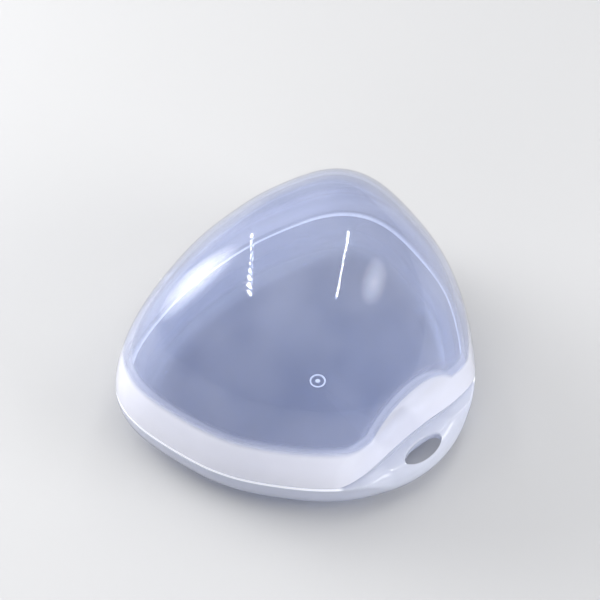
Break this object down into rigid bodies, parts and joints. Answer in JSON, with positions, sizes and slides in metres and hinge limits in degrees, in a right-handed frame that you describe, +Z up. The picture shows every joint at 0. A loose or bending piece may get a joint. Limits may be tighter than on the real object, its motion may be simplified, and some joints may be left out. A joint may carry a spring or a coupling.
{
  "type": "pacifier box",
  "caption": "Rounded triangular translucent pacifier case: shallow base with a slotted strap tab at the front corner and a tall dome lid hinged at the back.",
  "frame": {"origin": "centre of the bounding box, on the ground plane", "axes": "+Z up, -Y towards the corner with the strap tab, +Y towards the hinge, X across the box in its plane of symmetry's normal direction"},
  "size_m": [0.0848, 0.08, 0.052],
  "materials": {
    "lid_plastic": "glossy, milky translucent",
    "base_plastic": "glossy, milky translucent"
  },
  "bodies": {
    "base": {"base": "base_plastic"},
    "lid": {"lid": "lid_plastic"}
  },
  "joints": [
    {"name": "lid_hinge", "type": "hinge", "parent": "base", "child": "lid", "pos_m": [0, 0.03803, 0.011], "axis": [-1, 0, 0], "range_deg": [0, 120]}
  ]
}
